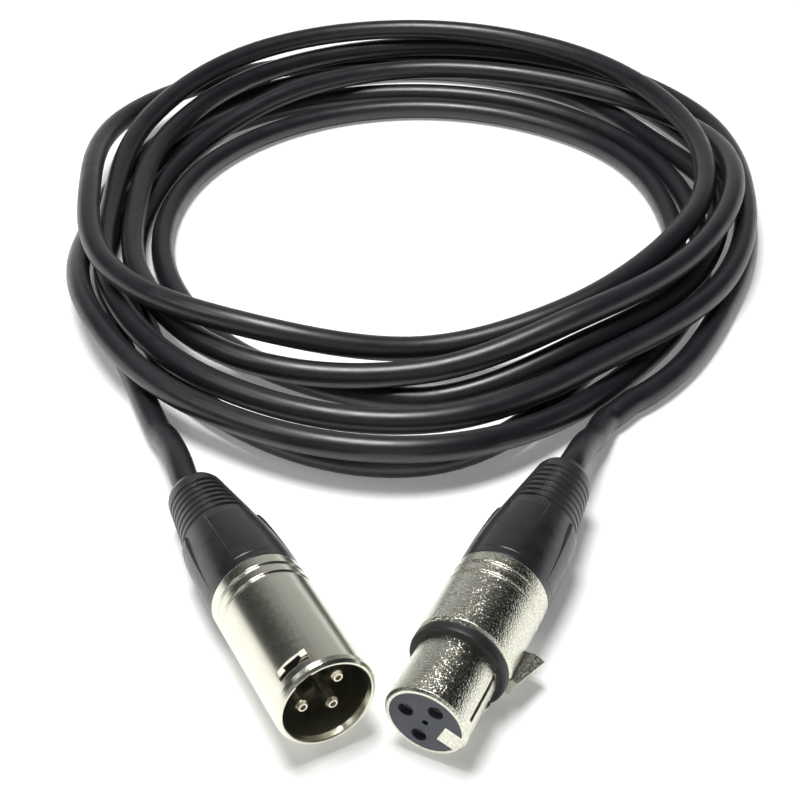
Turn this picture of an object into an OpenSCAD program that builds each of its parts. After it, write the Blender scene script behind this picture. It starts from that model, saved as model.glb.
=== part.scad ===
// Microphone lead: one male and one female 3-pole connector on a coiled cable.
// Millimetres. The floor is z = 0; the origin is on it, in the middle of the two connectors.

/* [Part shown] */
// One sub-part alone, or all of them

/* [Cable] */
// Outside diameter of the jacket
cable_d = 6.0; // [5:0.1:7]
// Height of one layer of cable on the next
layer_rise = 6.65; // [6.4:0.1:8]
// Diameter of the stripped conductors
wire_d = 1.3; // [0.8:0.1:1.6]

/* [Connector placing] */
// Middle of the coil, across
coil_x = 9.69; // [-20:0.01:20]
// Middle of the coil, away from the connectors
coil_y = 148.03; // [120:0.01:180]
// Rim of the male connector, across from the coil's middle
male_x = -18.2; // [-50:0.05:0]
// Rim of the male connector, along from the coil's middle
male_y = -177.55; // [-200:0.05:-150]
// Bearing of the male connector
male_turn = -63.1; // [-90:0.1:-40]
// Lift of the male connector, which rests on the grips of its boot
male_tilt = 4; // [0:0.1:5]
// Rim of the female connector, across from the coil's middle
female_x = -1.65; // [-30:0.05:30]
// Rim of the female connector, along from the coil's middle
female_y = -179.55; // [-200:0.05:-150]
// Bearing of the female connector
female_turn = -115.9; // [-140:0.1:-90]

/* [Male connector] */
// Outside diameter of both barrels
shell_d = 19.0; // [18:0.1:20]
// Inside diameter of the male cup
cup_d = 16.2; // [16:0.05:16.6]
// Depth of the cup down to the insert
cup_depth = 14.5; // [12:0.1:16]
// Length of the male barrel
male_len = 31.4; // [28:0.1:36]
// Diameter of a contact pin
pin_d = 2.4; // [2.3:0.05:2.5]
// Diameter of a contact's root and solder cup
root_d = 3.0; // [2.8:0.05:3.4]
// Diameter of the small hollow in each pin's tip
tip_d = 1.1; // [0.6:0.1:1.4]
// Depth of that hollow
tip_deep = 1.2; // [0.3:0.1:1.2]
// Radius of the circle the contacts lie on
contact_r = 4.0; // [3.5:0.1:4.5]
// Angle from the key to the contacts beside it
contact_spread = 84; // [70:1:100]
// How far the pin tips lie behind the rim
pin_back = 2.7; // [1:0.1:5]
// Thickness of the insert mouldings behind the cup
insert_t = 5.0; // [3:0.1:8]
// Width of the latch window round the barrel
window_w = 6.3; // [4:0.1:9]
// Length of the latch window along the barrel
window_l = 2.3; // [2:0.1:5]
// Distance of the window behind the rim
window_back = 2.8; // [2:0.1:6]
// Width of the keyway
keyway_w = 3.4; // [2.5:0.1:4]
// Bearing of the keyway and window, seen from the front
male_key = 118; // [0:1:359]

/* [Female connector] */
// Outside diameter of the nose
nose_d = 15.9; // [15:0.05:16]
// Length of the nose with the collar
nose_len = 15.7; // [13:0.1:17]
// Inside diameter of the nose
nose_bore = 13.8; // [12:0.1:14]
// Inside diameter of the neck behind the insert
neck_bore = 12.6; // [12:0.1:13]
// Outside diameter of the rubber collar
collar_d = 18.9; // [17:0.1:19]
// Thickness of the rubber collar
collar_t = 2.4; // [1.5:0.1:3.5]
// Length of the female metal parts
female_len = 34.6; // [30:0.1:38]
// Length of the female insert
socket_insert_l = 20.0; // [18:0.1:22]
// Outside diameter of a contact sleeve
socket_d = 3.4; // [3:0.05:3.6]
// Bore of a contact sleeve
socket_bore = 2.5; // [2.4:0.05:2.6]
// Bearing of the latch, seen from the front
female_key = -23; // [-90:1:90]
// Width of the key in the face
key_w = 4.2; // [3:0.1:5]
// Distance of the key's inner edge from the axis
key_low = 3.3; // [3:0.1:4.5]
// Angle from the key to the slit in the nose
slit_turn = 39; // [30:1:60]
// Width of the slit
slit_w = 0.9; // [0.5:0.1:1.5]

/* [Latch] */
// Width of the latch lever
lever_w = 3.0; // [2.5:0.1:4]
// Thickness of the latch lever
lever_t = 1.4; // [1:0.1:1.8]
// Height of the hook over the nose
hook_h = 0.35; // [0.2:0.05:0.6]
// Width of the thumb tab
plate_w = 3.9; // [3:0.1:6]
// Height of the thumb tab over the barrel
plate_h = 3.8; // [1:0.1:4]
// Clearance beside the lever in its slot
lever_gap = 0.25; // [0.15:0.01:0.4]
// Clearance between the latch's room and the room of the boot's collar
latch_gap = 0.4; // [0.2:0.1:1]
// Diameter of the latch pin
latch_pin_d = 1.2; // [1:0.05:1.6]
// How far the latch pin reaches into the barrel on each side
pin_seat = 1.3; // [0.8:0.1:2]
// Running clearance round the latch pin, on the radius
pin_gap = 0.04; // [0.02:0.01:0.08]
// Wall of the lever's eye round the pin
eye_wall = 0.7; // [0.5:0.05:1]
// Clearance round the lever's eye
eye_gap = 0.3; // [0.2:0.05:0.5]
// Distance of the latch pin from the axis
latch_r = 7.1; // [7:0.1:7.6]
// Thickness of the leaf spring
leaf_t = 0.3; // [0.2:0.05:0.5]
// Length of the leaf spring
leaf_l = 8.0; // [6:0.5:10]
// Distance of the leaf spring's tip behind the rim
leaf_front = 7.0; // [4:0.5:9]

/* [Boots] */
// Length of each boot behind its barrel
boot_len = 37.2; // [34:0.1:44]
// Radius of the long curve that each boot starts with
curve_r = 126; // [80:1:200]
// Length of that curve, up to the straight cone
curve_l = 16.4; // [10:0.1:22]
// Width of each of the four grips
grip_w = 7.0; // [4:0.1:9]
// Length of the grips
grip_l = 18.7; // [12:0.1:20]
// Radius of the grips' long curve
grip_r = 154; // [100:1:300]
// Where the grips start to curve in
grip_start = 4.0; // [0:0.5:8]
// Bearing of the male boot's upper grip
male_grip = 88; // [45:1:134]
// Bearing of the female boot's upper grip
female_grip = 96; // [45:1:134]
// Number of ribs on each tail
rib_count = 7; // [5:1:9]
// Spacing of the ribs
rib_pitch = 1.9; // [1.5:0.05:2]
// Depth of the grooves between the ribs
rib_deep = 0.5; // [0.2:0.05:0.8]
// Length of the rounded end behind the ribs
dome_l = 4.5; // [3:0.1:6]
// Length of the straight lip at the very end
lip_l = 1.2; // [0.8:0.1:2]
// Wall of the lip round the cable
lip_wall = 0.7; // [0.5:0.1:1.2]
// Outside diameter of the screwed collar inside the barrel
screw_d = 15.6; // [15:0.1:16]
// Running clearance of the screwed collar, on the radius
screw_gap = 0.05; // [0.02:0.01:0.1]
// Length of the screwed collar
screw_len = 6.0; // [4:0.1:8]
// Room left in front of the screwed collar
screw_room = 0.4; // [0.2:0.1:1]
// Clearance of the boot's end round the cable, on the radius
cable_gap = 0.2; // [0.1:0.05:0.4]
// Outside diameter of the cable clamp
chuck_d = 9.4; // [8:0.1:10]
// Length of the cable clamp
chuck_len = 13.0; // [10:0.5:16]
// Distance of the cable clamp behind the barrel
chuck_back = 4.0; // [1:0.5:6]
// Length of jacket inside the clamp's mouth
core_lap = 1.0; // [0.5:0.1:3]

/* [Hidden] */
$fn = 48;
shell_r = shell_d / 2;
male_all = male_len + boot_len;
female_all = female_len + boot_len;
male_jaw = male_len + chuck_back;
female_jaw = female_len + chuck_back;
male_back = cup_depth + insert_t;
// The turned grooves ahead of each boot: distance from the boot to the middle of each, width and depth
groove_back = [5.5, 2.8];
groove_w = 1.0;
groove_deep = 0.3;

// Bearings of the contacts, seen from the front
male_at = [male_key - contact_spread, male_key + contact_spread, male_key + 180];
female_at = [female_key + contact_spread, female_key - contact_spread, female_key + 180];

// ---- Coil route: distance from the middle and layer, every 30 degrees, one row a turn ----
// The rows begin at the right of the front and run to the left seen from above the back.
lane_r = [
    96, 89, 91.5, 97, 105, 107, 105, 100, 89, 88, 80, 70,
    69, 72, 79, 87, 96, 101.5, 99, 91, 84, 88.5, 95, 97,
    86, 87.5, 90.5, 99.5, 103, 102.5, 96, 84.5, 77, 80.5, 84.5, 79,
    76.5, 79.5, 86.5, 91.5, 87.5, 84.5, 78.5, 77, 76.8, 82, 97, 103.5,
    80, 73.5, 70.5, 71, 70, 70, 70, 70, 70, 72, 77, 81,
    78.5, 80.3, 82.5, 85, 94, 98, 96, 91.5, 90.2, 96, 103.5, 107.5,
    89, 80.7, 77.5, 78.3, 80, 81, 82.5, 83.5, 83.5, 89.3
];
lane_l = [
    0, 0, 0, 0, 0, 0, 0.5, 1.3, 2, 2, 2, 1,
    1.5, 2, 2, 2, 2, 2, 2, 1.6, 1, 1, 1, 1,
    1, 1, 1, 1, 1, 1, 1, 1, 1, 1, 1, 1,
    2, 2, 2, 1.1, 1, 1, 1, 0.3, 0, 0, 0, 0,
    0, 0, 0, 0, 0, 0, 0, 0, 0, 0, 0, 0,
    1, 1, 1, 0.1, 0, 0, 0, 0, 0, 1, 1, 1.1,
    0, 0, 0, 0, 0, 0, 0, 0, 0, 0
];
route_start = 300;
station_step = 30;
ring_step = 0.5;
cord_sides = 6;
lead_sides = 8;
last_station = len(lane_r) - 1;

function clip(v, i) = v[max(0, min(len(v) - 1, i))];
function blend(v, i, t) =
    0.5 * (2 * clip(v, i)
        + (clip(v, i + 1) - clip(v, i - 1)) * t
        + (2 * clip(v, i - 1) - 5 * clip(v, i) + 4 * clip(v, i + 1) - clip(v, i + 2)) * t * t
        + (3 * clip(v, i) - clip(v, i - 1) - 3 * clip(v, i + 1) + clip(v, i + 2)) * t * t * t);
function route(s) =
    let (
        i = min(floor(s), last_station - 1),
        a = route_start + station_step * s,
        r = blend(lane_r, i, s - i),
        rise = max(0, layer_rise * blend(lane_l, i, s - i))
    )
    [coil_x + r * cos(a), coil_y + r * sin(a), cable_d / 2 + rise];
function unit(v) = v / norm(v);
coil_mid = [for (s = [0 : ring_step : last_station]) route(s)];
coil_n = len(coil_mid);
// The ends run straight for one diameter, level with the floor
function level_way(a, b) = unit([b.x - a.x, b.y - a.y, 0]);
coil_in = level_way(coil_mid[1], coil_mid[0]);
coil_out = level_way(coil_mid[coil_n - 2], coil_mid[coil_n - 1]);
coil_path = concat([coil_mid[0] + coil_in * cable_d], coil_mid, [coil_mid[coil_n - 1] + coil_out * cable_d]);

// ---- Radius of the boots, at a distance behind the barrel ----
function cone_at(z) =
    let (bend = min(z, curve_l))
    shell_r - bend * bend / (2 * curve_r) - (z - bend) * curve_l / curve_r;
function grip_at(z) =
    let (bend = max(0, z - grip_start))
    shell_r - bend * bend / (2 * grip_r);

// ---- Connector frames ----
// The way out of a rim, with its lift over the floor
function heading(turn, tilt) = [cos(tilt) * cos(turn), cos(tilt) * sin(turn), sin(tilt)];
male_out = heading(male_turn, male_tilt);
female_out = heading(female_turn, 0);
// The lifted male connector touches the floor where its grips run level
level_at = min(grip_l, grip_start + grip_r * tan(male_tilt));
floor_gap = 0.02;
male_z = (male_len + level_at) * sin(male_tilt) + grip_at(level_at) * cos(male_tilt) + floor_gap;
male_rim = [coil_x + male_x, coil_y + male_y, male_z];
female_rim = [coil_x + female_x, coil_y + female_y, shell_r];
male_tail = male_rim - male_out * male_all;
female_tail = female_rim - female_out * female_all;

// ---- Free tails of cable from the boots to the coil, floor to floor ----
// Each starts inside the boot's end, leaves it straight and joins the coil square.
core_end = 2;
function from_coil(x, y, z) = [coil_x + x, coil_y + y, z];
male_end = coil_path[coil_n + 1];
male_path = [
    male_tail + male_out * core_end,
    male_tail,
    male_tail - male_out * 4,
    from_coil(-53.5, -105.5, 6.7),
    from_coil(-57, -97, 5.1),
    from_coil(-61.5, -88, 3.6),
    male_end + coil_out * cable_d,
    male_end
];
female_end = coil_path[0];
female_path = [
    female_tail + female_out * core_end,
    female_tail,
    female_tail - female_out * 4,
    from_coil(35, -102.8, 7),
    from_coil(37.8, -97.5, 4.6),
    female_end + coil_in * 4,
    female_end
];

// ---- Swept tube ----
function tangent(p, i) = unit(p[min(i + 1, len(p) - 1)] - p[max(i - 1, 0)]);
module tube(p, d, sides, first, last) {
    n = len(p);
    up = [0, 0, 1];
    rings = [
        for (i = [0 : n - 1])
            let (
                t = i == 0 ? first : (i == n - 1 ? last : tangent(p, i)),
                side = unit(cross(t, up)),
                rise = cross(side, t)
            )
            for (k = [0 : sides - 1])
                let (a = 360 * (k + 0.5) / sides)
                p[i] + (d / 2) * (side * cos(a) + rise * sin(a)) * (1 / cos(180 / sides * 0.45))
    ];
    walls = [
        for (i = [0 : n - 2])
            for (k = [0 : sides - 1])
                let (a = i * sides + k, b = i * sides + (k + 1) % sides, c = a + sides, e = b + sides)
                for (f = [[a, c, b], [b, c, e]])
                    f
    ];
    start_cap = [for (k = [1 : sides - 2]) [0, k, k + 1]];
    end_cap = [for (k = [1 : sides - 2]) [(n - 1) * sides, (n - 1) * sides + k + 1, (n - 1) * sides + k]];
    polyhedron(rings, concat(walls, start_cap, end_cap), convexity = 20);
}

// ---- Frames for the turned parts: +z is out of the rim, +x is up ----
module in_frame(rim, turn, tilt) {
    translate(rim)
        rotate([0, -tilt, turn])
            rotate([0, 90, 0])
                rotate([0, 0, 180])
                    children();
}
module in_male() {
    in_frame(male_rim, male_turn, male_tilt)
        children();
}
module in_female() {
    in_frame(female_rim, female_turn, 0)
        children();
}
// Turns something drawn along +x to a bearing seen from the front
module at_bearing(a) {
    rotate([0, 0, a - 90])
        children();
}
module bore(r, back, deep) {
    translate([0, 0, -back - deep])
        cylinder(h = deep, r = r);
}

// ---- Shared outline of a barrel's rear end, with its turned grooves ----
function rear_outline(len) =
    concat(
        [for (g = groove_back, q = [[0, 1], [groove_deep, 0.4], [groove_deep, -0.4], [0, -1]])
            [shell_r - q.x, -len + g + q.y * groove_w / 2]],
        [[shell_r, -len], [screw_d / 2 + screw_gap, -len]]
    );

// ---- Shared boot: shell end at z = 0, tail towards -z ----
edge = 0.3;
grip_front = 1.2;
rib_end = boot_len - dome_l;
rib_first = rib_end - rib_count * rib_pitch;
rib_groove = [[0, 0], [rib_deep, 0.35], [rib_deep, 0.7], [0, 1.05]];
tail_r = cone_at(rib_end);
mouth_r = cable_d / 2 + cable_gap;
neck_r = mouth_r + lip_wall + 0.4;
module boot_body() {
    rotate_extrude()
        polygon(concat(
            [[0, 0], [shell_r - edge, 0], [cone_at(0) - 0.05, -edge]],
            [for (z = [3 : 3 : rib_first]) [cone_at(z), -z]],
            [for (k = [0 : rib_count - 1], q = rib_groove)
                let (z = rib_first + k * rib_pitch + q.y)
                [cone_at(z) - q.x, -z]],
            [for (a = [0 : 22.5 : 90])
                [neck_r + (tail_r - neck_r) * cos(a), -boot_len + lip_l + (dome_l - lip_l) * (1 - sin(a))]],
            [[mouth_r + lip_wall, -boot_len], [0, -boot_len]]
        ));
}
module boot_grips() {
    intersection() {
        rotate_extrude()
            polygon(concat(
                [[neck_r, -grip_front], [shell_r - 0.3, -grip_front], [shell_r, -grip_front - 0.8]],
                [for (z = [grip_start : 2.5 : grip_l - 1]) [grip_at(z), -z]],
                [[grip_at(grip_l) - 0.1, -grip_l + 0.4], [grip_at(grip_l) - 0.35, -grip_l], [neck_r, -grip_l]]
            ));
        union() {
            for (a = [0, 90])
                rotate([0, 0, a])
                    translate([-shell_r, -grip_w / 2, -grip_l - 1])
                        cube([shell_d, grip_w, grip_l + 1]);
        }
    }
}
module boot(grip_turn) {
    difference() {
        union() {
            boot_body();
            at_bearing(grip_turn)
                boot_grips();
            translate([0, 0, -0.01])
                cylinder(h = screw_len + 0.01, r = screw_d / 2);
        }
        translate([0, 0, -chuck_back - chuck_len - 1])
            cylinder(h = chuck_back + chuck_len + screw_len + 2, r = chuck_d / 2 + screw_gap);
        translate([0, 0, -boot_len - 1])
            cylinder(h = boot_len, r = mouth_r);
    }
}

// Slotted clamp: front end at z = 0, towards -z
module chuck() {
    difference() {
        translate([0, 0, -chuck_len])
            cylinder(h = chuck_len, r = chuck_d / 2);
        translate([0, 0, -chuck_len - 1])
            cylinder(h = chuck_len + 2, r = cable_d / 2 + screw_gap);
        for (a = [0 : 120 : 240])
            rotate([0, 0, a])
                translate([0, -0.5, -chuck_len - 1])
                    cube([chuck_d, 1, chuck_len - 2]);
    }
}

// Solder cup of a contact: mouth at -back
module cup(back) {
    difference() {
        translate([0, 0, -back])
            cylinder(h = 4, r = root_d / 2, $fn = 24);
        translate([0, 0, -back - 1])
            cylinder(h = 4, r = wire_d / 2, $fn = 24);
    }
}
function contact(a) = [contact_r * sin(a), -contact_r * cos(a)];

// ================= Male connector =================
module male_shell() {
    color("silver")
        in_male()
            difference() {
                rotate_extrude($fn = 64)
                    polygon(concat(
                        [[cup_d / 2, -male_back], [cup_d / 2, -1.2], [cup_d / 2 + 0.3, -0.2],
                            [cup_d / 2 + 0.5, 0], [shell_r - 0.6, 0],
                            [shell_r - 0.15, -0.6], [shell_r, -1.5]],
                        rear_outline(male_len),
                        [[screw_d / 2 + screw_gap, -male_back]]
                    ));
                at_bearing(male_key) {
                    translate([cup_d / 2 - 1, -window_w / 2, -window_back - window_l])
                        cube([4, window_w, window_l]);
                    translate([cup_d / 2 - 1, -keyway_w / 2, -cup_depth + 1])
                        cube([1.7, keyway_w, cup_depth]);
                }
            }
}
module male_insert() {
    color("black")
        in_male()
            difference() {
                bore(cup_d / 2, cup_depth, insert_t);
                for (a = male_at)
                    translate([contact(a).x, contact(a).y, 0])
                        bore(root_d / 2, cup_depth - 1, insert_t + 2);
            }
}
module male_pin(i) {
    p = contact(male_at[i]);
    color("gold")
        in_male()
            translate([p.x, p.y, 0]) {
                rotate_extrude($fn = 24)
                    polygon([
                        [0, -pin_back - tip_deep], [tip_d / 2 - 0.1, -pin_back - tip_deep],
                        [tip_d / 2, -pin_back],
                        [pin_d / 2 - 0.35, -pin_back], [pin_d / 2, -pin_back - 0.6],
                        [pin_d / 2, -cup_depth], [root_d / 2, -cup_depth],
                        [root_d / 2, -male_back], [0, -male_back]
                    ]);
                cup(male_back + 4);
            }
}
module male_pin_1() {
    male_pin(0);
}
module male_pin_2() {
    male_pin(1);
}
module male_pin_3() {
    male_pin(2);
}
module male_chuck() {
    color("dimgray")
        in_male()
            translate([0, 0, -male_jaw])
                chuck();
}
module male_boot() {
    color("black")
        in_male()
            translate([0, 0, -male_len])
                boot(male_grip);
}
// Jacket from the stripped end to the start of the free tail
module core(front, back) {
    translate([0, 0, -back])
        cylinder(h = back - front, r = cable_d / 2, $fn = 32);
}
module male_core() {
    color("black")
        in_male()
            core(male_jaw - core_lap, male_all - core_end);
}
// Conductor from the jacket's end to a solder cup
module wire(from, cup_back, p) {
    hull() {
        translate([p.x, p.y, -cup_back - 0.5])
            cylinder(h = 3.4, r = wire_d / 2 - 0.05, $fn = 12);
        translate([p.x, p.y, -cup_back - 1])
            cylinder(h = 1, r = wire_d / 2 - 0.05, $fn = 12);
    }
    hull() {
        translate([p.x, p.y, -cup_back - 1])
            cylinder(h = 0.5, r = wire_d / 2 - 0.05, $fn = 12);
        translate([p.x * 0.4, p.y * 0.4, -from])
            cylinder(h = 0.5, r = wire_d / 2 - 0.05, $fn = 12);
    }
}
module male_wire(i) {
    in_male()
        wire(male_jaw - core_lap, male_back + 4, contact(male_at[i]));
}
module male_wire_1() {
    color("gray")
        male_wire(0);
}
module male_wire_2() {
    color("white")
        male_wire(1);
}
module male_wire_3() {
    color("red")
        male_wire(2);
}

// ================= Female connector =================
lever_top = nose_d / 2 - 0.35;
lever_low = lever_top - lever_t;
lever_front = 2.6;
// The hook drops into the male window when the male rim meets the collar
rim_seat = nose_len - collar_t;
hook_back = rim_seat - window_back - 0.3;
hook_front = rim_seat - window_back - window_l + 0.3;
eye_r = latch_pin_d / 2 + pin_gap + eye_wall;
neck_end = female_len - screw_len - screw_room;
latch_back = neck_end - latch_gap - eye_gap - eye_r;
slot_w = lever_w + 2 * lever_gap;
slot_low = neck_bore / 2 - 1;
plate_slot_w = plate_w + 2 * lever_gap;
eye_room_top = latch_r + eye_r + eye_gap;
eye_room_end = latch_back + eye_r + eye_gap;
plate_front = nose_len + 0.8;
plate_end = latch_back - eye_r - 0.2;
leaf_low = lever_low - 1.7;
leaf_end = leaf_front + leaf_l;
leaf_knee = leaf_front + leaf_l / 2;
key_l = 1.9;
pin_l = slot_w + 2 * pin_seat;
module lever_room(w, low, high, front, back) {
    translate([low, -w / 2, -back])
        cube([high - low, w, back - front]);
}
module female_shell() {
    color("silver")
        in_female()
            difference() {
                union() {
                    rotate_extrude($fn = 64)
                        polygon(concat(
                            [[nose_bore / 2, -socket_insert_l], [nose_bore / 2, 0],
                                [nose_d / 2 - 0.5, 0], [nose_d / 2, -0.5], [nose_d / 2, -nose_len],
                                [shell_r - 0.9, -nose_len], [shell_r, -nose_len - 0.9]],
                            rear_outline(female_len),
                            [[screw_d / 2 + screw_gap, -neck_end], [neck_bore / 2, -neck_end],
                                [neck_bore / 2, -socket_insert_l]]
                        ));
                    at_bearing(female_key)
                        lever_room(key_w, key_low, nose_bore / 2 + 0.3, 0, key_l);
                }
                at_bearing(female_key) {
                    lever_room(slot_w, slot_low, nose_d / 2 + 1, key_l + 0.1, nose_len - 0.5);
                    lever_room(slot_w, slot_low, eye_room_top, nose_len - 1, eye_room_end);
                    lever_room(plate_slot_w, slot_low, shell_d, plate_front - 0.3, plate_end + 0.3);
                    translate([latch_r, 0, -latch_back])
                        rotate([90, 0, 0])
                            cylinder(h = pin_l, r = latch_pin_d / 2, center = true, $fn = 24);
                }
                at_bearing(female_key + slit_turn)
                    lever_room(slit_w, nose_bore / 2 - 0.5, nose_d, key_l, rim_seat - 0.3);
            }
}
module female_insert() {
    color("black")
        in_female()
            difference() {
                bore(nose_bore / 2, 0, socket_insert_l);
                for (a = female_at) {
                    translate([contact(a).x, contact(a).y, 0]) {
                        bore(socket_d / 2, 1.5, socket_insert_l);
                        translate([0, 0, -2])
                            cylinder(h = 3, r = socket_bore / 2 + 0.2, $fn = 24);
                    }
                }
                translate([0, 0, -1])
                    cylinder(h = 2, r = 0.6, $fn = 24);
                at_bearing(female_key) {
                    lever_room(slot_w + 0.6, leaf_low, shell_d, key_l, socket_insert_l + 1);
                    lever_room(key_w, key_low, shell_d, -1, key_l + 0.1);
                }
            }
}
module female_socket(i) {
    p = contact(female_at[i]);
    color("gold")
        in_female()
            translate([p.x, p.y, 0]) {
                difference() {
                    bore(socket_d / 2, 1.5, socket_insert_l - 1.5);
                    bore(socket_bore / 2, 0, 14);
                }
                cup(socket_insert_l + 3.5);
            }
}
module female_socket_1() {
    female_socket(0);
}
module female_socket_2() {
    female_socket(1);
}
module female_socket_3() {
    female_socket(2);
}
module female_ring() {
    color("black")
        in_female()
            rotate_extrude()
                polygon([
                    [nose_d / 2, -rim_seat], [collar_d / 2 - 0.5, -rim_seat],
                    [collar_d / 2 - 0.1, -rim_seat - 0.3], [collar_d / 2, -rim_seat - 0.8],
                    [collar_d / 2, -nose_len + 0.6], [collar_d / 2 - 0.2, -nose_len], [nose_d / 2, -nose_len]
                ]);
}
module latch_lever() {
    color("silver")
        in_female()
            at_bearing(female_key)
                rotate([90, 0, 0])
                    difference() {
                        union() {
                            linear_extrude(height = lever_w, center = true)
                                polygon([
                                    [lever_low, -lever_front], [lever_top - 0.4, -lever_front],
                                    [lever_top, -lever_front - 0.6], [lever_top, -hook_front + 0.8],
                                    [nose_d / 2 + hook_h, -hook_front - 0.8],
                                    [nose_d / 2 + hook_h, -hook_back], [lever_top, -hook_back],
                                    [lever_top, -latch_back], [lever_low, -latch_back]
                                ]);
                            linear_extrude(height = plate_w, center = true)
                                polygon([
                                    [lever_top - 0.2, -plate_front], [shell_r + 1.2, -plate_front],
                                    [shell_r + plate_h, -plate_end + 0.3], [shell_r + 1.5, -plate_end],
                                    [shell_r + 0.1, -plate_end + 0.6], [lever_top - 0.2, -plate_end + 1]
                                ]);
                            translate([latch_r, -latch_back, 0])
                                cylinder(h = lever_w, r = eye_r, center = true, $fn = 32);
                        }
                        translate([latch_r, -latch_back, 0])
                            cylinder(h = lever_w + 1, r = latch_pin_d / 2 + pin_gap, center = true, $fn = 24);
                    }
}
module latch_pin() {
    color("gray")
        in_female()
            at_bearing(female_key)
                translate([latch_r, 0, -latch_back])
                    rotate([90, 0, 0])
                        cylinder(h = pin_l, r = latch_pin_d / 2, center = true, $fn = 24);
}
module latch_spring() {
    color("gray")
        in_female()
            at_bearing(female_key)
                rotate([90, 0, 0])
                    linear_extrude(height = lever_w - 0.6, center = true)
                        polygon([
                            [leaf_low, -leaf_end], [leaf_low + leaf_t, -leaf_end],
                            [leaf_low + leaf_t, -leaf_knee],
                            [lever_low, -leaf_front - 0.4], [lever_low, -leaf_front],
                            [lever_low - leaf_t, -leaf_front], [leaf_low, -leaf_knee + 0.2]
                        ]);
}
module female_chuck() {
    color("dimgray")
        in_female()
            translate([0, 0, -female_jaw])
                chuck();
}
module female_boot() {
    color("black")
        in_female()
            translate([0, 0, -female_len])
                boot(female_grip);
}
module female_core() {
    color("black")
        in_female()
            core(female_jaw - core_lap, female_all - core_end);
}
module female_wire(i) {
    in_female()
        wire(female_jaw - core_lap, socket_insert_l + 4, contact(female_at[i]));
}
module female_wire_1() {
    color("gray")
        female_wire(0);
}
module female_wire_2() {
    color("white")
        female_wire(1);
}
module female_wire_3() {
    color("red")
        female_wire(2);
}

// ================= Cable =================
module cable_coil() {
    color("black")
        tube(coil_path, cable_d, cord_sides, -coil_in, coil_out);
}
module male_lead() {
    color("black")
        tube(male_path, cable_d, lead_sides, -male_out, -coil_out);
}
module female_lead() {
    color("black")
        tube(female_path, cable_d, lead_sides, -female_out, -coil_in);
}

// ---- Least gap between turns, measured along the route ----
fine = [
    for (i = [0 : coil_n - 2])
        for (t = [0, 0.25, 0.5, 0.75])
            coil_mid[i] * (1 - t) + coil_mid[i + 1] * t
];
gaps = [
    for (i = [0 : len(fine) - 1])
        for (j = [i + 60 : len(fine) - 1])
            if (abs(fine[i].z - fine[j].z) < cable_d * 2)
                norm(fine[i] - fine[j])
];
echo(least_gap = min(gaps) - cable_d);
function run(p, i = 0) = i >= len(p) - 1 ? 0 : norm(p[i + 1] - p[i]) + run(p, i + 1);
echo(cord_length = run(coil_path) + run(male_path) + run(female_path));

male_shell();
male_insert();
male_pin_1();
male_pin_2();
male_pin_3();
male_chuck();
male_boot();
male_core();
male_wire_1();
male_wire_2();
male_wire_3();
female_shell();
female_insert();
female_socket_1();
female_socket_2();
female_socket_3();
female_ring();
latch_lever();
latch_pin();
latch_spring();
female_chuck();
female_boot();
female_core();
female_wire_1();
female_wire_2();
female_wire_3();
cable_coil();
male_lead();
female_lead();
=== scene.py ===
import math

import bmesh
import bpy
from mathutils import Matrix, Vector


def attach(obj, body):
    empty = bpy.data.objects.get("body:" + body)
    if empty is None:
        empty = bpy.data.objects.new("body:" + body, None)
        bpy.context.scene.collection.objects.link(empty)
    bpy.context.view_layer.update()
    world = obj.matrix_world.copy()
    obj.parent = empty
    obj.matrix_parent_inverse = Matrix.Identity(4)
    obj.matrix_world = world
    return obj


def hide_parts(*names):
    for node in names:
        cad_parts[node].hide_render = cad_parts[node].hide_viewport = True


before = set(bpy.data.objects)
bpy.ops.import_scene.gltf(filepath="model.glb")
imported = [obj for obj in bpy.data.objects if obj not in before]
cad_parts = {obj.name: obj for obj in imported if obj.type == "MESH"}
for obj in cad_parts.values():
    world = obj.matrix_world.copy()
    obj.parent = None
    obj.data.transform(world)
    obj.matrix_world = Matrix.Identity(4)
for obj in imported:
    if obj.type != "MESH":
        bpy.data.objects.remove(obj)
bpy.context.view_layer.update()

bl_info = {
    "name": "Coiled microphone cable",
    "version": (1, 0, 0),
    "blender": (4, 5, 0),
    "location": "View3D > Sidebar > Cable",
    "description": "Dresses the packed model of a coiled cable with two 3-pole connectors",
    "category": "Object",
}

MM = 0.001

# ---------------------------------------------------------------- places, in millimetres and degrees
COIL_MIDDLE = Vector((9.69, 148.03, 0.0))
FEMALE_RIM = COIL_MIDDLE + Vector((-1.65, -179.55, 9.5))
FEMALE_BEARING = -115.9
FEMALE_LENGTH = 71.8
# The male connector lies on its boot's grip, so its rim points up a little
MALE_RIM = COIL_MIDDLE + Vector((-18.2, -177.55, 12.342))
MALE_BEARING = -63.1
MALE_TILT = 4.0
MALE_LENGTH = 68.6

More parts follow.
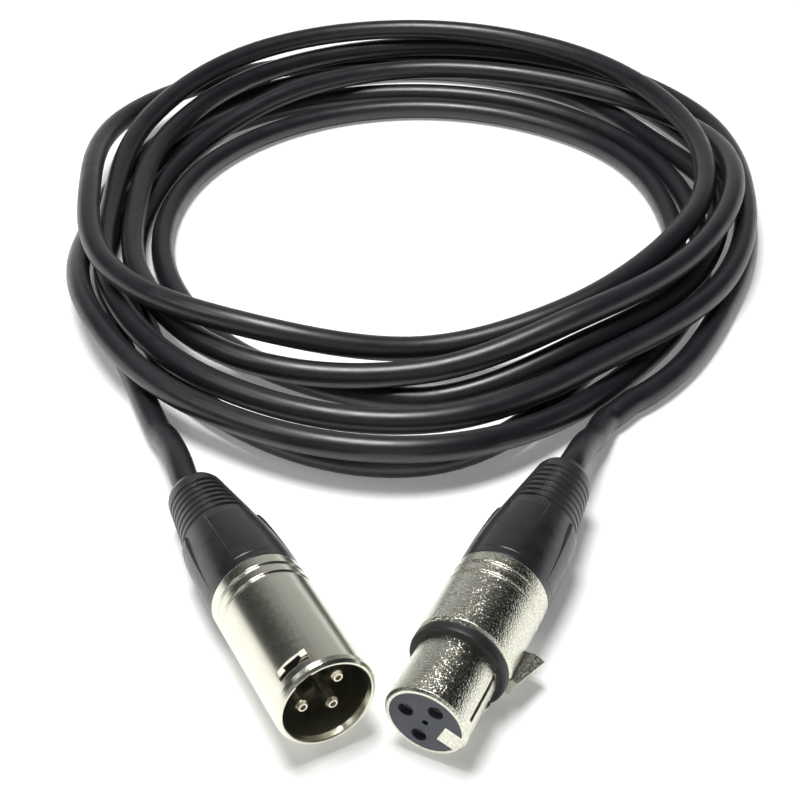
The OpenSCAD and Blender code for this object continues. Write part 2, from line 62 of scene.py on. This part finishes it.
# Distance from the coil's middle and layer, every 30 degrees, one row a turn
LANE_RADIUS = [
    96, 89, 91.5, 97, 105, 107, 105, 100, 89, 88, 80, 70,
    69, 72, 79, 87, 96, 101.5, 99, 91, 84, 88.5, 95, 97,
    86, 87.5, 90.5, 99.5, 103, 102.5, 96, 84.5, 77, 80.5, 84.5, 79,
    76.5, 79.5, 86.5, 91.5, 87.5, 84.5, 78.5, 77, 76.8, 82, 97, 103.5,
    80, 73.5, 70.5, 71, 70, 70, 70, 70, 70, 72, 77, 81,
    78.5, 80.3, 82.5, 85, 94, 98, 96, 91.5, 90.2, 96, 103.5, 107.5,
    89, 80.7, 77.5, 78.3, 80, 81, 82.5, 83.5, 83.5, 89.3,
]
LANE_LAYER = [
    0, 0, 0, 0, 0, 0, 0.5, 1.3, 2, 2, 2, 1,
    1.5, 2, 2, 2, 2, 2, 2, 1.6, 1, 1, 1, 1,
    1, 1, 1, 1, 1, 1, 1, 1, 1, 1, 1, 1,
    2, 2, 2, 1.1, 1, 1, 1, 0.3, 0, 0, 0, 0,
    0, 0, 0, 0, 0, 0, 0, 0, 0, 0, 0, 0,
    1, 1, 1, 0.1, 0, 0, 0, 0, 0, 1, 1, 1.1,
    0, 0, 0, 0, 0, 0, 0, 0, 0, 0,
]
LAST_STATION = len(LANE_RADIUS) - 1
ROUTE_START = 300
STATION_STEP = 30
LAYER_RISE = 6.65
POINTS_PER_STATION = 15
# The solids' rings are this many stations apart
RING_STEP = 0.5

# Where each lead passes between its boot and the coil, from the coil's middle
MALE_LEAD_POINTS = [(-53.5, -105.5, 6.7), (-57.0, -97.0, 5.1), (-61.5, -88.0, 3.6)]
FEMALE_LEAD_POINTS = [(35.0, -102.8, 7.0), (37.8, -97.5, 4.6)]
POINTS_PER_LEAD_STEP = 8
INTO_BOOT = 2.0
STRAIGHT_BEHIND_BOOT = 4.0
FEMALE_STRAIGHT_AT_COIL = 4.0

# ---------------------------------------------------------------- finishes
INSERT_BLACK = (0.008, 0.008, 0.0075)
COLLAR_BLACK = (0.011, 0.011, 0.012)
SPRING_STEEL = (0.72, 0.71, 0.66)
CLAMP_GREY = (0.22, 0.22, 0.23)
DRAIN_METAL = (0.55, 0.5, 0.45)
WIRE_WHITE = (0.8, 0.8, 0.78)
WIRE_RED = (0.45, 0.03, 0.02)
LATCH_SHADE = 0.95

NOISE_ROUGHNESS = 0.55
# Most of a noise lies between these
NOISE_LOW = 0.3
NOISE_HIGH = 0.7
BEVEL_SAMPLES = 4
# The Mix node's sockets for two colours and for the mixed one
MIX_DARK = 6
MIX_LIGHT = 7
MIX_COLOUR = 2

# Materials by the short names that the operators use, filled by CABLE_OT_finishes
FINISHES = {}


# ---------------------------------------------------------------- settings
class CableSizes(bpy.types.PropertyGroup):
    jacket: bpy.props.FloatProperty(
        name="Jacket",
        description="Outside diameter of the cable's jacket",
        default=6.0 * MM,
        unit="LENGTH",
    )
    length: bpy.props.FloatProperty(
        name="Length",
        description="Length of the cable from boot to boot",
        default=3.80,
        unit="LENGTH",
    )


class CableColours(bpy.types.PropertyGroup):
    jacket: bpy.props.FloatVectorProperty(
        name="Jacket",
        description="Colour of the cable's jacket",
        subtype="COLOR",
        default=(0.01, 0.011, 0.0135),
    )
    nickel: bpy.props.FloatVectorProperty(
        name="Nickel",
        description="Colour of the plated barrels and the latch",
        subtype="COLOR",
        default=(0.84, 0.835, 0.715),
    )
    boot: bpy.props.FloatVectorProperty(
        name="Boot",
        description="Colour of the moulded boots",
        subtype="COLOR",
        default=(0.0125, 0.013, 0.015),
    )
    insert: bpy.props.FloatVectorProperty(
        name="Insert",
        description="Colour of the slate insert",
        subtype="COLOR",
        default=(0.06, 0.066, 0.082),
    )
    contact: bpy.props.FloatVectorProperty(
        name="Contact",
        description="Colour of the plated contacts",
        subtype="COLOR",
        default=(0.83, 0.78, 0.66),
    )


# ---------------------------------------------------------------- helpers
def link(obj):
    """Put a new object in the scene."""
    bpy.context.scene.collection.objects.link(obj)
    return obj


def bearing(angle, tilt=0.0):
    """The direction at an angle from the x axis, tilted up from the floor."""
    a, t = math.radians(angle), math.radians(tilt)
    return Vector((math.cos(t) * math.cos(a), math.cos(t) * math.sin(a), math.sin(t)))


def shade(colour, factor):
    """The colour made darker or lighter by a factor."""
    return tuple(min(1.0, c * factor) for c in colour)


def add_node(tree, kind, **settings):
    """A new node with the given settings."""
    made = tree.nodes.new(kind)
    for name, value in settings.items():
        setattr(made, name, value)
    return made


def map_range(tree, value, low, high, to_low, to_high, interpolation="LINEAR"):
    """The value taken from one range to another."""
    made = add_node(tree, "ShaderNodeMapRange", interpolation_type=interpolation)
    tree.links.new(value, made.inputs["Value"])
    limits = {"From Min": low, "From Max": high, "To Min": to_low, "To Max": to_high}
    for socket, number in limits.items():
        made.inputs[socket].default_value = number
    return made.outputs["Result"]


# ---------------------------------------------------------------- materials
class Finish:
    """A node material that is built up step by step."""

    def __init__(self, name, colour, roughness, metallic=0.0, gloss=0.5):
        self.material = bpy.data.materials.new(name)
        self.material.use_nodes = True
        self.tree = self.material.node_tree
        self.shader = self.tree.nodes["Principled BSDF"]
        self.shader.inputs["Base Color"].default_value = (*colour, 1.0)
        self.shader.inputs["Roughness"].default_value = roughness
        self.shader.inputs["Metallic"].default_value = metallic
        self.shader.inputs["Specular IOR Level"].default_value = gloss
        self.normal = None
        self.where = add_node(self.tree, "ShaderNodeTexCoord").outputs["Object"]

    def noise(self, scale, detail=4.0):
        """Soft patches, about as many to a metre as the scale says."""
        made = add_node(self.tree, "ShaderNodeTexNoise")
        made.inputs["Scale"].default_value = scale
        made.inputs["Detail"].default_value = detail
        made.inputs["Roughness"].default_value = NOISE_ROUGHNESS
        self.tree.links.new(self.where, made.inputs["Vector"])
        return made.outputs["Fac"]

    def cells(self, scale):
        """Distance from the middles of small cells, for pits."""
        made = add_node(self.tree, "ShaderNodeTexVoronoi")
        made.inputs["Scale"].default_value = scale
        self.tree.links.new(self.where, made.inputs["Vector"])
        return made.outputs["Distance"]

    def span(self, value, low, high):
        """The value stretched so that low gives 0 and high gives 1."""
        return map_range(self.tree, value, low, high, 0.0, 1.0)

    def vary_colour(self, value, colour, dark, light):
        """Vary the colour between a darker and a lighter shade of it."""
        made = add_node(self.tree, "ShaderNodeMix", data_type="RGBA")
        made.inputs[MIX_DARK].default_value = (*shade(colour, dark), 1.0)
        made.inputs[MIX_LIGHT].default_value = (*shade(colour, light), 1.0)
        self.tree.links.new(value, made.inputs["Factor"])
        self.tree.links.new(made.outputs[MIX_COLOUR], self.shader.inputs["Base Color"])

    def vary_roughness(self, value, low, high):
        """Vary the roughness between two values."""
        varied = map_range(self.tree, value, NOISE_LOW, NOISE_HIGH, low, high)
        self.tree.links.new(varied, self.shader.inputs["Roughness"])

    def set_normal(self, made):
        """Take the surface's direction from this node from now on."""
        self.normal = made.outputs["Normal"]
        self.tree.links.new(self.normal, self.shader.inputs["Normal"])

    def round_edges(self, radius):
        """Catch the light along edges as a small radius does."""
        made = add_node(self.tree, "ShaderNodeBevel", samples=BEVEL_SAMPLES)
        made.inputs["Radius"].default_value = radius
        self.set_normal(made)

    def bump(self, value, depth, strength):
        """Add relief of this depth in metres, over the relief that is there already."""
        made = add_node(self.tree, "ShaderNodeBump")
        made.inputs["Strength"].default_value = strength
        made.inputs["Distance"].default_value = depth
        self.tree.links.new(value, made.inputs["Height"])
        if self.normal:
            self.tree.links.new(self.normal, made.inputs["Normal"])
        self.set_normal(made)


def cable_jacket(colour):
    """Satin extruded plastic: even colour, faint waves in the surface and small dull patches."""
    jacket = Finish("cable_jacket", colour, roughness=0.36, gloss=0.72)
    jacket.vary_colour(jacket.noise(45.0), colour, dark=0.75, light=1.3)
    jacket.vary_roughness(jacket.noise(160.0), low=0.31, high=0.41)
    jacket.bump(jacket.noise(260.0, detail=3.0), depth=0.00008, strength=0.35)
    jacket.bump(jacket.noise(1500.0, detail=2.0), depth=0.00003, strength=0.4)
    return jacket


def satin_nickel(colour):
    """Turned and plated barrel: soft sheen, worn patches and rounded edges."""
    nickel = Finish("satin_nickel", colour, roughness=0.23, metallic=1.0)
    nickel.vary_colour(nickel.noise(220.0), colour, dark=0.95, light=1.04)
    nickel.vary_roughness(nickel.noise(1500.0), low=0.21, high=0.26)
    nickel.round_edges(0.0002)
    nickel.bump(nickel.noise(4000.0, detail=2.0), depth=0.000005, strength=0.3)
    return nickel


def cast_nickel(name, colour, roughness):
    """Plated die casting: fine pits that sparkle between smooth patches."""
    nickel = Finish(name, colour, roughness, metallic=1.0)
    pits = nickel.span(nickel.cells(2200.0), low=0.05, high=0.5)
    grain = nickel.span(nickel.noise(2600.0, detail=3.0), low=0.36, high=0.64)
    nickel.vary_colour(grain, colour, dark=0.72, light=1.08)
    nickel.vary_roughness(grain, low=roughness - 0.05, high=roughness + 0.05)
    nickel.round_edges(0.0002)
    nickel.bump(pits, depth=0.00007, strength=0.5)
    nickel.bump(grain, depth=0.00005, strength=0.5)
    return nickel


def moulding(name, colour, roughness, scale, edge=0.0001, gloss=0.5):
    """Moulded plastic or rubber: fine spark-eroded grain with slightly shinier spots."""
    made = Finish(name, colour, roughness, gloss=gloss)
    made.vary_colour(made.noise(scale * 0.3), colour, dark=0.75, light=1.3)
    made.vary_roughness(made.noise(scale), low=roughness - 0.06, high=roughness + 0.07)
    made.round_edges(edge)
    made.bump(made.noise(scale * 4.0, detail=2.0), depth=0.00003, strength=0.45)
    return made


def bright_metal(name, colour, roughness):
    """Smooth plated metal with faint tarnish."""
    made = Finish(name, colour, roughness, metallic=1.0)
    made.vary_colour(made.noise(700.0), colour, dark=0.85, light=1.08)
    made.vary_roughness(made.noise(900.0), low=roughness - 0.06, high=roughness + 0.08)
    made.round_edges(0.00012)
    made.bump(made.noise(2200.0, detail=2.0), depth=0.00002, strength=0.4)
    return made


def wire(name, colour, metallic=0.0):
    """One of the three wires behind the contacts, insulated or bare."""
    made = Finish(name, colour, roughness=0.35, metallic=metallic)
    made.vary_colour(made.noise(300.0), colour, dark=0.85, light=1.05)
    made.bump(made.noise(2500.0, detail=2.0), depth=0.00002, strength=0.4)
    return made


def set_finish(obj, name):
    """Give an object one of the finishes and no other."""
    obj.data.materials.clear()
    obj.data.materials.append(FINISHES[name])


# ---------------------------------------------------------------- cable route
def clip(values, i):
    """Value i of a list, or the nearest one where i is past an end."""
    return values[max(0, min(len(values) - 1, i))]


def blend(values, i, t):
    """The smooth curve through a list's values, from value i at t = 0 to the next at t = 1."""
    a, b, c, d = (clip(values, i + k) for k in (-1, 0, 1, 2))
    slope = c - a
    square = 2 * a - 5 * b + 4 * c - d
    cube = 3 * b - a - 3 * c + d
    return 0.5 * (2 * b + slope * t + square * t * t + cube * t ** 3)


def route_point(station, radius):
    """The middle of the cord in the coil, in millimetres."""
    i = min(int(station), LAST_STATION - 1)
    t = station - i
    out = bearing(ROUTE_START + STATION_STEP * station) * blend(LANE_RADIUS, i, t)
    height = max(radius, radius + LAYER_RISE * blend(LANE_LAYER, i, t))
    return COIL_MIDDLE + Vector((out.x, out.y, height))


def level_way(start, end, diameter):
    """One diameter from start towards end, level with the floor."""
    way = end - start
    return Vector((way.x, way.y, 0.0)).normalized() * diameter


def smooth_through(points, steps):
    """Points along one smooth line through the given points."""
    made = []
    for i in range(len(points) - 1):
        for k in range(steps):
            t = k / steps
            made.append(Vector([blend([p[axis] for p in points], i, t) for axis in range(3)]))
    return made + [points[-1]]


def lead_route(rim, out, length, passing, ending):
    """The cord from inside a boot to the coil, in millimetres."""
    tail = rim - out * length
    points = [tail + out * INTO_BOOT, tail, tail - out * STRAIGHT_BEHIND_BOOT]
    points += [COIL_MIDDLE + Vector(p) for p in passing]
    return smooth_through(points + ending, POINTS_PER_LEAD_STEP)


def cable_route(diameter):
    """The cord from inside the male boot to inside the female boot, in millimetres."""
    radius = diameter / 2
    count = LAST_STATION * POINTS_PER_STATION
    coil = [route_point(LAST_STATION * k / count, radius) for k in range(count + 1)]
    # The coil's ends run straight for one diameter, in line with the solids' first and last rings
    female_way = level_way(route_point(RING_STEP, radius), coil[0], diameter)
    male_way = level_way(route_point(LAST_STATION - RING_STEP, radius), coil[-1], diameter)
    female_join = coil[0] + female_way
    male_join = coil[-1] + male_way
    female_straight = female_way.normalized() * FEMALE_STRAIGHT_AT_COIL
    male = lead_route(
        MALE_RIM,
        bearing(MALE_BEARING, MALE_TILT),
        MALE_LENGTH,
        MALE_LEAD_POINTS,
        [male_join + male_way, male_join],
    )
    female = lead_route(
        FEMALE_RIM,
        bearing(FEMALE_BEARING),
        FEMALE_LENGTH,
        FEMALE_LEAD_POINTS,
        [female_join + female_straight, female_join],
    )
    return male + coil[::-1] + female[::-1]


# ---------------------------------------------------------------- operators
class CABLE_OT_finishes(bpy.types.Operator):
    """Make the materials from the chosen colours"""

    bl_idname = "cable.finishes"
    bl_label = "Finishes"

    def execute(self, context):
        colours = context.scene.cable_colours
        latch_colour = shade(colours.nickel, LATCH_SHADE)
        made = {
            "jacket": cable_jacket(colours.jacket),
            "satin_nickel": satin_nickel(colours.nickel),
            "cast_nickel": cast_nickel("cast_nickel", colours.nickel, roughness=0.2),
            "boot": moulding("boot_plastic", colours.boot, roughness=0.31, scale=300.0, gloss=0.85),
            "insert": moulding("insert_black", INSERT_BLACK, roughness=0.45, scale=500.0),
            "face": moulding("insert_slate", colours.insert, roughness=0.5, scale=500.0),
            "rubber": moulding("collar_rubber", COLLAR_BLACK, roughness=0.5, scale=350.0, edge=0.0002),
            "contact": bright_metal("contact_metal", colours.contact, roughness=0.2),
            "steel": bright_metal("spring_steel", SPRING_STEEL, roughness=0.22),
            "latch": cast_nickel("latch_nickel", latch_colour, roughness=0.36),
            "clamp": moulding("clamp_grey", CLAMP_GREY, roughness=0.5, scale=350.0),
            "drain": wire("drain_wire", DRAIN_METAL, metallic=1.0),
            "white": wire("white_wire", WIRE_WHITE),
            "red": wire("red_wire", WIRE_RED),
        }
        for name, finish in made.items():
            FINISHES[name] = finish.material
        return {"FINISHED"}


class CABLE_OT_camera(bpy.types.Operator):
    """Place the camera over the front of the coil"""

    bl_idname = "cable.camera"
    bl_label = "Camera"

    focal_pixels = 1358.5
    image_pixels = 800
    sensor = 36.0
    # In metres
    nearest = 0.01
    # In degrees
    tilt_down = 38.05
    roll = -0.7244
    # In millimetres
    place = (4.45, -181.29, 197.28)

    def execute(self, context):
        data = bpy.data.cameras.new("camera")
        data.sensor_width = self.sensor
        data.lens = self.sensor * self.focal_pixels / self.image_pixels
        data.clip_start = self.nearest
        camera = link(bpy.data.objects.new("camera", data))
        camera.matrix_world = (
            Matrix.Translation(Vector(self.place) * MM)
            @ Matrix.Rotation(math.radians(90 - self.tilt_down), 4, "X")
            @ Matrix.Rotation(math.radians(self.roll), 4, "Z")
        )
        context.scene.camera = camera
        return {"FINISHED"}


class CABLE_OT_cord(bpy.types.Operator):
    """Lay the cable along its whole route as one round cord"""

    bl_idname = "cable.cord"
    bl_label = "Cable"

    def execute(self, context):
        sizes = context.scene.cable_sizes
        points = cable_route(sizes.jacket / MM)
        curve = bpy.data.curves.new("cable", "CURVE")
        curve.dimensions = "3D"
        curve.bevel_depth = sizes.jacket / 2
        curve.bevel_resolution = 6
        curve.use_fill_caps = True
        curve.twist_mode = "Z_UP"
        spline = curve.splines.new("POLY")
        spline.points.add(len(points) - 1)
        for knot, point in zip(spline.points, points):
            knot.co = (*(point * MM), 1.0)
        spline.use_smooth = True
        cable = link(bpy.data.objects.new("cable", curve))
        set_finish(cable, "jacket")
        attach(cable, "cable_and_barrels")
        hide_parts("cable_coil", "male_lead", "female_lead")
        return {"FINISHED"}


class CABLE_OT_carried(bpy.types.Operator):
    """Finish the parts that are carried over from the solids"""

    bl_idname = "cable.carried"
    bl_label = "Carried parts"

    # A word in a solid's name and the finish it gets. The first word that fits counts
    finishes = {
        "female_shell": "cast_nickel",
        "male_shell": "satin_nickel",
        "female_insert": "face",
        "male_insert": "insert",
        "latch_lever": "latch",
        "latch_": "steel",
        "pin_": "contact",
        "socket_": "contact",
        "ring": "rubber",
        "chuck": "clamp",
        "boot": "boot",
        "core": "jacket",
        "wire_1": "drain",
        "wire_2": "white",
        "wire_3": "red",
    }

    def execute(self, context):
        for name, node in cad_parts.items():
            for word, finish in self.finishes.items():
                if word in name:
                    set_finish(node, finish)
                    break
        return {"FINISHED"}


class CABLE_OT_stage(bpy.types.Operator):
    """Set the pale floor and the soft lights"""

    bl_idname = "cable.stage"
    bl_label = "Stage"

    # Name, place in metres from the coil's middle, width in metres, power in watts
    lamps = [
        ("overhead_softbox", (-0.11, -0.06, 0.85), 0.36, 7.4),
        ("side_softbox", (-0.6, -0.24, 0.68), 0.3, 0.8),
    ]
    floor_half = 3.0
    paper = (0.93, 0.93, 0.93)
    paper_roughness = 0.9
    # The paper's glow at two distances in metres from the coil's middle
    glow_distance = (0.3, 0.9)
    glow_strength = (0.2, 0.9)
    # How far a direction turns to the front or the back, and how bright the room is there
    wall_turn = (0.54, 0.95)
    wall_level = (0.015, 0.44)
    # The room is white up to the first height, and past the second only its walls show
    horizon_height = (0.09, 0.17)
    white = 1.0

    def seen_rays(self, tree):
        """1 for what the camera, reflections and clear things see, and 0 for light on the object."""
        paths = add_node(tree, "ShaderNodeLightPath")
        seen = paths.outputs["Is Camera Ray"]
        for kind in ("Is Glossy Ray", "Is Transmission Ray"):
            either = add_node(tree, "ShaderNodeMath", operation="MAXIMUM")
            tree.links.new(seen, either.inputs[0])
            tree.links.new(paths.outputs[kind], either.inputs[1])
            seen = either.outputs[0]
        return seen

    def paper_finish(self):
        """Matt paper that glows where it is seen, and more so far from the coil."""
        finish = Finish("floor_paper", self.paper, self.paper_roughness)
        tree = finish.tree
        plain = finish.shader.outputs[0]
        seen = self.seen_rays(tree)
        away = add_node(tree, "ShaderNodeVectorMath", operation="DISTANCE")
        tree.links.new(finish.where, away.inputs[0])
        away.inputs[1].default_value = COIL_MIDDLE * MM
        distance = away.outputs["Value"]
        strength = map_range(tree, distance, *self.glow_distance, *self.glow_strength, "SMOOTHSTEP")
        glow = add_node(tree, "ShaderNodeEmission")
        tree.links.new(strength, glow.inputs["Strength"])
        bright = add_node(tree, "ShaderNodeAddShader")
        tree.links.new(plain, bright.inputs[0])
        tree.links.new(glow.outputs[0], bright.inputs[1])
        mix = add_node(tree, "ShaderNodeMixShader")
        for socket, source in zip(mix.inputs, (seen, plain, bright.outputs[0])):
            tree.links.new(source, socket)
        tree.links.new(mix.outputs[0], tree.nodes["Material Output"].inputs["Surface"])
        return finish

    def make_floor(self):
        bm = bmesh.new()
        bmesh.ops.create_grid(bm, x_segments=2, y_segments=2, size=self.floor_half)
        data = bpy.data.meshes.new("floor")
        bm.to_mesh(data)
        bm.free()
        data.materials.append(self.paper_finish().material)
        link(bpy.data.objects.new("floor", data))

    def make_room(self, context):
        """A pale room: white at the horizon, pale at the back and the front, dark at both sides."""
        world = bpy.data.worlds.new("studio")
        context.scene.world = world
        world.use_nodes = True
        tree = world.node_tree
        way = add_node(tree, "ShaderNodeSeparateXYZ")
        tree.links.new(add_node(tree, "ShaderNodeTexCoord").outputs["Generated"], way.inputs[0])
        turn = add_node(tree, "ShaderNodeMath", operation="ABSOLUTE")
        tree.links.new(way.outputs["Y"], turn.inputs[0])
        wall = map_range(tree, turn.outputs[0], *self.wall_turn, *self.wall_level, "SMOOTHSTEP")
        horizon = map_range(tree, way.outputs["Z"], *self.horizon_height, 1.0, 0.0, "SMOOTHSTEP")
        level = add_node(tree, "ShaderNodeMix")
        tree.links.new(horizon, level.inputs["Factor"])
        tree.links.new(wall, level.inputs["A"])
        level.inputs["B"].default_value = self.white
        background = tree.nodes["Background"]
        background.inputs["Color"].default_value = (1.0, 1.0, 1.0, 1.0)
        tree.links.new(level.outputs["Result"], background.inputs["Strength"])

    def make_lamps(self):
        aim = COIL_MIDDLE * MM
        for name, place, width, power in self.lamps:
            light = bpy.data.lights.new(name, "AREA")
            light.shape = "DISK"
            light.size = width
            light.energy = power
            lamp = link(bpy.data.objects.new(name, light))
            lamp.location = aim + Vector(place)
            lamp.rotation_euler = (aim - lamp.location).to_track_quat("-Z", "Y").to_euler()

    def execute(self, context):
        self.make_floor()
        self.make_room(context)
        self.make_lamps()
        context.scene.view_settings.view_transform = "Standard"
        return {"FINISHED"}


class CABLE_PT_panel(bpy.types.Panel):
    """Lists the steps that make the cable"""

    bl_idname = "CABLE_PT_panel"
    bl_label = "Coiled cable"
    bl_space_type = "VIEW_3D"
    bl_region_type = "UI"
    bl_category = "Cable"

    def draw(self, context):
        for group in (context.scene.cable_sizes, context.scene.cable_colours):
            for name in group.__annotations__:
                self.layout.prop(group, name)
        for step in STEPS:
            self.layout.operator(step.bl_idname)


STEPS = (CABLE_OT_finishes, CABLE_OT_camera, CABLE_OT_cord, CABLE_OT_carried, CABLE_OT_stage)
CLASSES = (CableSizes, CableColours, *STEPS, CABLE_PT_panel)


def register():
    for cls in CLASSES:
        bpy.utils.register_class(cls)
    bpy.types.Scene.cable_sizes = bpy.props.PointerProperty(type=CableSizes)
    bpy.types.Scene.cable_colours = bpy.props.PointerProperty(type=CableColours)


def unregister():
    del bpy.types.Scene.cable_colours
    del bpy.types.Scene.cable_sizes
    for cls in reversed(CLASSES):
        bpy.utils.unregister_class(cls)


def main():
    register()
    for step in STEPS:
        group, name = step.bl_idname.split(".")
        getattr(getattr(bpy.ops, group), name)()


if __name__ == "__main__":
    main()
